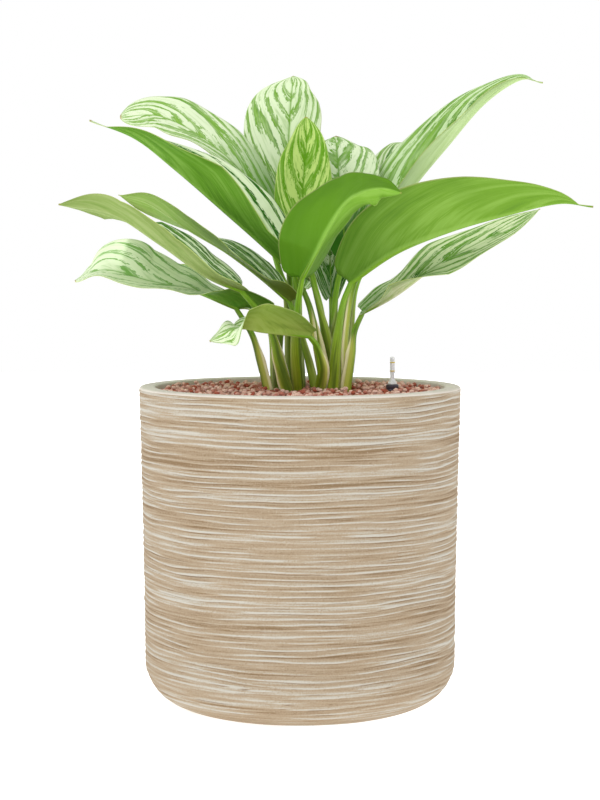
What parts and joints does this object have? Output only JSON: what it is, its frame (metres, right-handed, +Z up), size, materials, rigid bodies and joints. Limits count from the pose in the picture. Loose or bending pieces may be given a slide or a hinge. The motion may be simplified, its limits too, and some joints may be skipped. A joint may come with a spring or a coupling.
{
  "type": "potted striped chinese evergreen",
  "caption": "Striped Chinese evergreen plant rooted in fired clay granules in a round ridged planter, with a water gauge.",
  "frame": {"origin": "centre of the planter's flat underside", "axes": "+Z up; the side seen from the front faces -Y and +X is to its right"},
  "size_m": [0.5493, 0.4606, 0.6922],
  "materials": {
    "pot": "matte, dry-brushed beige over brown",
    "granules": "matte fired clay",
    "stem": "matte, green-brown",
    "leaf": "satin, striped pale and mid green",
    "gauge": "dark matte",
    "clear": "clear",
    "indicator": "red"
  },
  "bodies": {
    "root": {"pot": "pot", "granules": "granules", "stem_left": "stem", "stem_right": "stem", "stem_back": "stem", "stem_back_right": "stem", "leaf_left_low": "leaf", "leaf_left_long": "leaf", "leaf_left_curled": "leaf", "leaf_left_high": "leaf", "leaf_upper_left": "leaf", "leaf_top": "leaf", "leaf_top_young": "leaf", "leaf_top_right": "leaf", "leaf_behind_right": "leaf", "leaf_upper_right": "leaf", "leaf_front_broad": "leaf", "leaf_right_broad": "leaf", "leaf_right_low": "leaf", "leaf_front_small": "leaf", "leaf_inner_young": "leaf", "leaf_back_left_high": "leaf", "leaf_back_high": "leaf", "leaf_back_right": "leaf", "leaf_back_low": "leaf", "leaf_back_left_low": "leaf", "gauge_housing": "gauge", "gauge_collar": "gauge", "gauge_sight_tube": "clear", "gauge_float": "indicator"}
  },
  "joints": []
}
